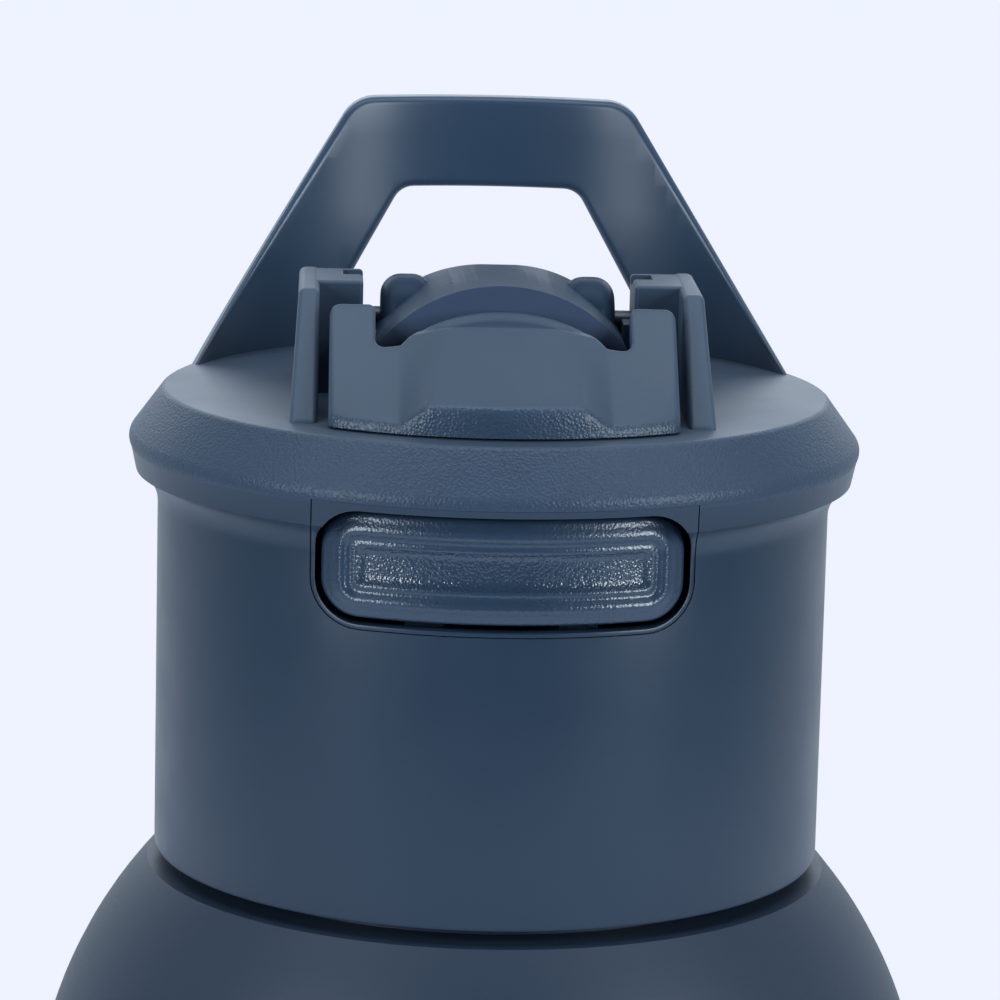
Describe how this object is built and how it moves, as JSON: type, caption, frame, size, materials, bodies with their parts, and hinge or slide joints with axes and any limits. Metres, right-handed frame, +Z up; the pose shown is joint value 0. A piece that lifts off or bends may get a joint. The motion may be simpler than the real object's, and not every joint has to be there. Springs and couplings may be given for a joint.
{
  "type": "insulated water jug",
  "caption": "Insulated steel jug with a domed shoulder, a screw lid, a push-button flip cover over a straw spout, and a rigid carry handle on the lid's rim.",
  "frame": {"origin": "middle of the flat ring that the jug stands on", "axes": "+Z up along the jug, -Y towards the push button, +X to the right of someone facing the button"},
  "size_m": [0.12, 0.12, 0.307],
  "materials": {
    "coated_steel": "fine satin powder coat",
    "bare_steel": "brushed",
    "lid_plastic": "satin moulded, textured on the rim",
    "inner_plastic": "satin moulded",
    "silicone": "matte",
    "button_plastic": "fine grained, slightly glossy",
    "spring_steel": "drawn",
    "cover_plastic": "matte moulded, grained on its lip",
    "hood_plastic": "polished",
    "spout_plastic": "satin",
    "straw_plastic": "clear, frosted"
  },
  "bodies": {
    "jug": {"outer_shell": "coated_steel", "base_cup": "bare_steel", "getter_button": "bare_steel", "inner_liner": "bare_steel"},
    "gasket": {"lid_gasket": "silicone"},
    "lid": {"lid_shell": "lid_plastic", "carry_handle": "lid_plastic", "lid_liner": "inner_plastic", "button_bezel": "lid_plastic", "button_springs": "spring_steel", "hinge_pins": "spring_steel", "torsion_spring": "spring_steel", "spout": "spout_plastic", "spout_seal": "silicone", "straw": "straw_plastic", "straw_collar": "silicone", "vent_valve": "silicone"},
    "button": {"push_button": "button_plastic", "latch_slide": "inner_plastic"},
    "cover": {"flip_cover": "cover_plastic", "cover_hood": "hood_plastic", "cover_seal": "silicone"}
  },
  "joints": [
    {"name": "lid_lift", "type": "slide", "parent": "jug", "child": "gasket", "axis": [0, 0, 1], "range_m": [0, 0.00625]},
    {"name": "lid_turn", "type": "hinge", "parent": "gasket", "child": "lid", "pos_m": [0, 0, 0.239], "axis": [0, 0, 1], "range_deg": [0, 450]},
    {"name": "button_press", "type": "slide", "parent": "lid", "child": "button", "axis": [0, 1, 0], "range_m": [0, 0.0025], "stiffness_N_per_m": 300, "springref_m": -0.002, "deforming": ["button_springs"]},
    {"name": "cover_flip", "type": "hinge", "parent": "lid", "child": "cover", "pos_m": [0, 0.00148, 0.28199], "axis": [-1, 0, 0], "range_deg": [0, 120], "deforming": ["torsion_spring"]}
  ],
  "couplings": [
    {"joint": "lid_lift", "follows": "lid_turn", "m_per_rad": 0.00079577}
  ]
}
